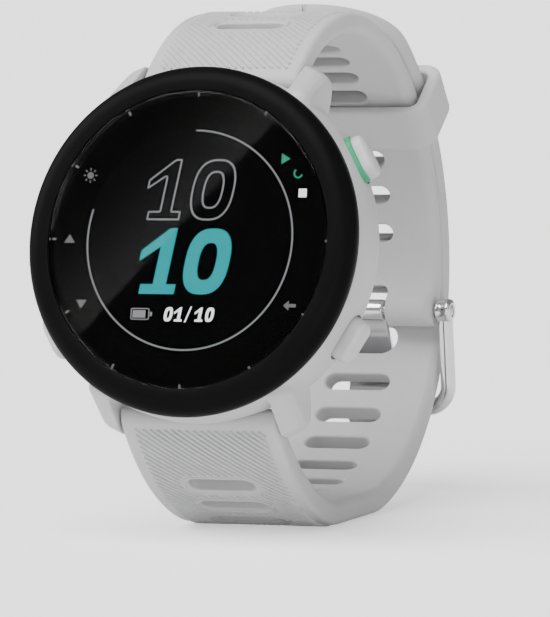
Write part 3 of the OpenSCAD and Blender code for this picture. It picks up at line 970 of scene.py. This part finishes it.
def flat_arc(radius, width, first, last, n=120):
    """A flat arc of even width about the origin, its ends given in degrees."""
    outer, inner = radius + width / 2, radius - width / 2
    rings = []
    for a in np.radians(np.linspace(first, last, n)):
        c, s = math.cos(a), math.sin(a)
        rings.append([(outer * c, outer * s, ART_TOP), (inner * c, inner * s, ART_TOP),
                      (inner * c, inner * s, ART_BOTTOM), (outer * c, outer * s, ART_BOTTOM)])
    return Shell().rings(rings)


def art(name, shell, material):
    piece(name, shell.placed(HEAD), "display", "watch_head", (), 30, material)


def display():
    """Hours in outline, minutes in teal, the date, a battery and a ring, lit under the lens."""
    art("display_minutes", figures("10", -6.5, -6.5, 7.9, 0.22, 0.7, 0.72), TEAL_GLOW)
    grey = outlined_figures(-6.1, 2.35, 7.35, 0.22, 0.028, 0.74, 0.74)
    grey.add(flat_arc(13.15, 0.2, 90, -196))
    white = figures("01/10", -2.7, -9.75, 1.7, 0.2, 0.78, 0.62)
    battery = rounded(rectangle(-6.9, -9.6, -4.5, -8.2), 0.2, 3)
    grey.add(flat_ring(battery, scaled_loop(battery, 0.12)))
    grey.add(flat_loop(rectangle(-6.65, -9.35, -5.0, -8.45)))
    grey.add(flat_loop(rectangle(-4.42, -9.15, -4.15, -8.65)))
    art("display_white", white, WHITE_GLOW)
    art("display_grey", grey, GREY_GLOW)


def at_dial(angle, radius):
    """Moves a sign out to its place round the dial, upright."""
    a = math.radians(angle)
    return Matrix.Translation((radius * math.cos(a), radius * math.sin(a), 0))


def prints():
    """Twelve ticks and generic signs by the buttons, printed under the lens and given a painted glow."""
    marks = Shell()
    for k in range(12):
        turn = Matrix.Rotation(math.radians(30 * k), 4, "Z")
        tick = rounded(rectangle(17.25, -0.13, 17.75, 0.13), 0.06, 2)
        if k != 1:
            marks.add(flat_loop(tick), turn)
    marks.add(flat_loop([(-0.7, -0.45), (0.7, -0.45), (0, 0.6)]), at_dial(180, 15.5))
    marks.add(flat_loop([(-0.7, 0.45), (0, -0.6), (0.7, 0.45)]), at_dial(210, 15.5))
    marks.add(flat_loop(circle(0.42, 24)), at_dial(150, 15.4))
    for k in range(8):
        ray = Matrix.Rotation(math.radians(45 * k), 4, "Z")
        marks.add(flat_loop(rectangle(0.6, -0.08, 0.9, 0.08)), at_dial(150, 15.4) @ ray)
    arrow = [(-0.8, 0), (-0.1, 0.6), (-0.1, 0.2), (0.8, 0.2), (0.8, -0.2), (-0.1, -0.2), (-0.1, -0.6)]
    marks.add(flat_loop(arrow), at_dial(-30, 15.4))
    art("print_grey_painted_glow", marks, DIM_GLOW)
    # The START sign and its arc are print with a painted glow.
    start = flat_loop([(-0.5, -0.65), (0.65, 0), (-0.5, 0.65)]).placed(at_dial(40, 15.2))
    start.add(flat_arc(0.5, 0.2, -235, -15, 24), at_dial(31, 15.6))
    art("print_green_painted_glow", start, GREEN_GLOW)
    # A printed square that borrows the display's white glow: a painted glow on print.
    square = flat_loop(rectangle(-0.5, -0.5, 0.5, 0.5)).placed(at_dial(22, 15.2))
    art("print_white_painted_glow", square, WHITE_GLOW)


# ---------------- the back


def rear_cover():
    """A turned cover with a raised middle, bored for its screws and open at the charging port."""
    dome = [(10.9, -9.93), (10.55, -10.05), (10.2, -10.35), (9.8, -10.75), (9.35, -11.08), (8.8, -11.28),
            (8.1, -11.35)]
    profile = [(COVER_R, -8.72), (COVER_R, -9.72), (COVER_R - 0.06, -9.84), (COVER_R - 0.18, CASE_BOTTOM),
               (11.4, CASE_BOTTOM), *dome, (6.45, -11.35), (6.28, -11.3), (6.25, -11.15), (6.25, -10.4),
               (6.8, -10.35), (6.8, -8.72)]
    cover = lathe(profile, True)
    holes = []
    for angle in (45, 135, 225, 315):
        turn = Matrix.Rotation(math.radians(angle), 4, "Z") @ Matrix.Translation((SCREW_R, 0, 0))
        steps = [(1.5, -10.2), (1.5, -9.85), (1.36, -9.75), (1.36, -9.1), (0.75, -9.1), (0.75, -8)]
        holes.append(lathe(steps, False, 48).placed(turn))
    port = rounded(rectangle(-3.75, -14.55, 3.75, -11.05), 0.6)
    holes.append(prism(port, -12, -8))
    head_piece("rear_cover", cut(cover, *holes), "cover")


def charging_port():
    """A block with a well and four holes for the contacts."""
    block = rounded(rectangle(-3.7, -14.5, 3.7, -11.1), 0.55)
    body = pad(block, -9.85, -8.2, 0.12, 3)
    well = rounded(rectangle(-3.1, -13.9, 3.1, -11.7), 0.35)
    cutters = [prism(well, -10.4, -9.3)]
    for k in range(4):
        place = Matrix.Translation((-2.4 + 1.6 * k, -12.8, 0))
        cutters.append(prism(circle(0.42, 32), -9.35, -8).placed(place))
    head_piece("charging_port", cut(body, *cutters), "black_plastic")


def sensor_window():
    """A smoked clear window with a slight crown, held by its flange."""
    profile = [(6.75, -10.15), (6.75, -10.33), (WINDOW_R, -10.34), (WINDOW_R, -11.42),
               (WINDOW_R - 0.08, -11.52), (WINDOW_R - 0.25, -11.56), (5, -11.575), (3, -11.59),
               (0.5, -HEAD_T)]
    head_piece("sensor_window", lathe(profile, False, 128), "window")


# ---------------- the buckle

FAR_BAR_R = BACK_R + 0.65 + ROD_R
FAR = Vector((0, *polar(BACK, FAR_BAR_R, -37.5)))


def collar(x0, x1, r, bore, bevel):
    """A bored round collar on the pin, its rims rounded."""
    section = [(x0, bore), (x0, r - bevel), (x0 + bevel * 0.3, r - bevel * 0.3), (x0 + bevel, r),
               (x1 - bevel, r), (x1 - bevel * 0.3, r - bevel * 0.3), (x1, r - bevel), (x1, bore)]
    return bar(section, 48, PIN, True)


def buckle_frame():
    """A bent rod from one collar on the pin round to the other, and the pin itself."""
    along = (FAR - PIN).normalized()
    length = (FAR - PIN).length
    bend, half = 3.0, FRAME_HALF
    outline = [(-half, 1.1), (-half, length - bend)]
    outline += [(-half + bend - bend * math.cos(a), length - bend + bend * math.sin(a))
                for a in np.radians(np.linspace(6, 84, 12))]
    outline += [(-half + bend, length), (-2.7, length), (2.7, length)]
    outline += [(-x, q) for x, q in reversed(outline[:-2])]
    line = [Vector((x, PIN.y, PIN.z)) + along * q for x, q in outline]
    shell = tube(line, ROD_R, 32)
    for side in (-1, 1):
        x = side * FRAME_HALF
        shell.add(collar(x - ROD_R, x + ROD_R, 1.5, PIN_R + 0.01, 0.3))
    piece("buckle_frame", shell, "buckle_steel", "buckle", ["buckle_frame"], 50)
    end = FRAME_HALF + ROD_R - 0.05
    right = [(end - 0.2, PIN_R), (end - 0.06, PIN_R - 0.07), (end, PIN_R - 0.2)]
    pin = bar([(-x, r) for x, r in reversed(right)] + right, 40, PIN)
    piece("buckle_pin", pin, "steel", "buckle", ["buckle_pin"], 40)


def tongue():
    """A wide bent strip from a barrel on the pin, out through a slot and over the far bar."""
    half_t = 0.4
    start = Vector((PIN.y, PIN.z))
    knee = Vector(polar(BACK, BACK_R + 1.1, -26))
    rest = Vector(polar(BACK, FAR_BAR_R + ROD_R + half_t + 0.4, -38.5))
    soft = 1.6
    first, second = (knee - start).normalized(), (rest - knee).normalized()
    line = [start + first * q for q in np.linspace(0.9, (knee - start).length - soft, 5)]
    for t in np.linspace(0.1, 0.9, 9):
        line.append((knee - first * soft).lerp(knee, t).lerp(knee.lerp(knee + second * soft, t), t))
    line += [knee + second * q for q in np.linspace(soft, (rest - knee).length, 6)]
    tip = 1.0
    last = line[-1]
    line += [last + second * (tip * math.sin(a)) for a in np.radians((20, 40, 60, 76))]
    rings = []
    for i, p in enumerate(line):
        a, b = line[max(i - 1, 0)], line[min(i + 1, len(line) - 1)]
        t = (b - a).normalized()
        normal = Vector((t.y, -t.x))
        wide = TONGUE_HALF - 0.5 * i / len(line)
        beyond = (p - last).dot(second)
        if beyond > 0:
            wide -= tip - math.sqrt(tip * tip - min(beyond, tip) ** 2)
        section = rounded(rectangle(-wide, -half_t, wide, half_t), 0.26, 3)
        rings.append([(x, p.x + normal.x * w, p.y + normal.y * w) for x, w in section])
    shell = Shell().rings(rings)
    shell.add(collar(-TONGUE_HALF - 0.1, TONGUE_HALF + 0.1, 1.35, PIN_R + 0.03, 0.25))
    piece("buckle_tongue", shell, "buckle_steel", "tongue", ["buckle_tongue"], 50)


# ---------------- assembly

for cad_name, cad_object in frame["nodes"].items():
    for material_slot in cad_object.material_slots:
        material_slot.material = MATERIALS[SLOT_OF[cad_name]]

lower_strap()
upper_strap()
keeper()
case()
bezel()
lens()
display()
prints()
caps()
accent()
rear_cover()
charging_port()
sensor_window()
buckle_frame()
tongue()


# ---------------- stage, light and camera


def floor(name, level, glow, seen):
    """A plain pale floor; the seen one is what the camera looks at, the other one throws light back."""
    mesh = bpy.data.meshes.new(name)
    reach = 12
    corners = [(x, y, level) for x, y in rectangle(-reach, -reach, reach, reach)]
    mesh.from_pydata(corners, [], [(0, 1, 2, 3)])
    mesh.materials.append(shader(name + "_white", (0.9, 0.9, 0.9), 0.7, grain=30, relief=0, mottle=0.0,
                                 Emission_Color=(1, 1, 1, 1), Emission_Strength=glow))
    obj = new_object(name, mesh)
    obj.visible_camera = seen
    obj.visible_shadow = not seen
    obj.visible_diffuse = not seen
    obj.visible_glossy = not seen


def direction(azimuth, elevation):
    """From the object outwards, in degrees; azimuth 0 is straight in front."""
    a, e = math.radians(azimuth), math.radians(elevation)
    return Vector((math.sin(a) * math.cos(e), -math.cos(a) * math.cos(e), math.sin(e)))


def sun(name, azimuth, elevation, strength, spread):
    """Soft light from one direction; spread is the angle that it fills."""
    light = bpy.data.lights.new(name, "SUN")
    light.energy = strength
    light.angle = math.radians(spread)
    obj = new_object(name, light)
    obj.rotation_mode = "QUATERNION"
    obj.rotation_quaternion = direction(azimuth, elevation).to_track_quat("Z", "Y")


def world():
    """An even white surround."""
    w = bpy.data.worlds.new("studio")
    w.use_nodes = True
    background = w.node_tree.nodes["Background"]
    background.inputs["Color"].default_value = (1, 1, 1, 1)
    background.inputs["Strength"].default_value = 0.27
    bpy.context.scene.world = w


def camera():
    """At the photograph's angle, with its slight roll; the aim lies to the lower right of the dial."""
    azimuth, elevation, roll, distance = 23.2, 4, math.radians(1.27), 0.7
    aim_right, aim_down = 0.01052, 0.00825
    back = direction(azimuth, elevation)
    right = Vector((math.cos(math.radians(azimuth)), math.sin(math.radians(azimuth)), 0))
    up = back.cross(right)
    rolled_right = right * math.cos(roll) - up * math.sin(roll)
    rolled_up = right * math.sin(roll) + up * math.cos(roll)
    aim = DIAL * MM + rolled_right * aim_right - rolled_up * aim_down
    place = DIAL * MM + back * distance
    forward = (aim - place).normalized()
    side = forward.cross(rolled_up).normalized()
    top = side.cross(forward)
    cam = bpy.data.cameras.new("camera")
    cam.lens = 345.5
    cam.clip_start, cam.clip_end = 0.05, 60
    obj = new_object("camera", cam)
    turn = Matrix((side, top, -forward)).transposed()
    obj.matrix_world = Matrix.Translation(place) @ turn.to_4x4()
    bpy.context.scene.camera = obj


def card():
    """A soft card whose edge runs slantwise across its reflection in the lens."""
    cam = bpy.context.scene.camera.matrix_world.translation
    dial, out = DIAL * MM, OUT
    image = cam - 2 * (cam - dial).dot(out) * out
    reach, slope = 1.2, Vector((0.67, 0.74))
    side = Vector((-slope.y, slope.x))
    middle = Vector((0.5, 3.4))
    # Each row's distance from the slanting edge, as reflected on the lens, and its brightness.
    rows = ((0, 2.3), (4, 1.4), (8, 0.6), (12, 0.25), (60, 0.15))
    scale = 1 + reach / (cam - dial).length
    points, shades = [], []
    for away, shade in rows:
        for end in (-40, 40):
            corner = middle + slope * end + side * away
            points.append(image + (HEAD @ Vector((*corner, 0)) * MM - image) * scale)
            shades.append(shade)
    faces = [(2 * k, 2 * k + 1, 2 * k + 3, 2 * k + 2) for k in range(len(rows) - 1)]
    mesh = bpy.data.meshes.new("card")
    mesh.from_pydata(points, [], faces)
    layer = mesh.attributes.new("shade", "FLOAT", "POINT")
    layer.data.foreach_set("value", shades)
    material = glowing("card_white", (1, 1, 1), 1.0)
    nodes, links = material.node_tree.nodes, material.node_tree.links
    shade_node = nodes.new("ShaderNodeAttribute")
    shade_node.attribute_name = "shade"
    links.new(shade_node.outputs["Fac"], nodes["Principled BSDF"].inputs["Emission Strength"])
    mesh.materials.append(material)
    obj = new_object("card", mesh)
    obj.visible_camera = False
    obj.visible_diffuse = False


floor("floor", -0.0003, 0.8, True)
floor("bounce", -0.0005, 0.0, False)
world()
sun("sky", -15, 55, 4.5, 50)
sun("left", -75, 30, 1.7, 40)
sun("right", 80, 20, 0.55, 50)
sun("front", 25, 2, 1.0, 30)
camera()
card()
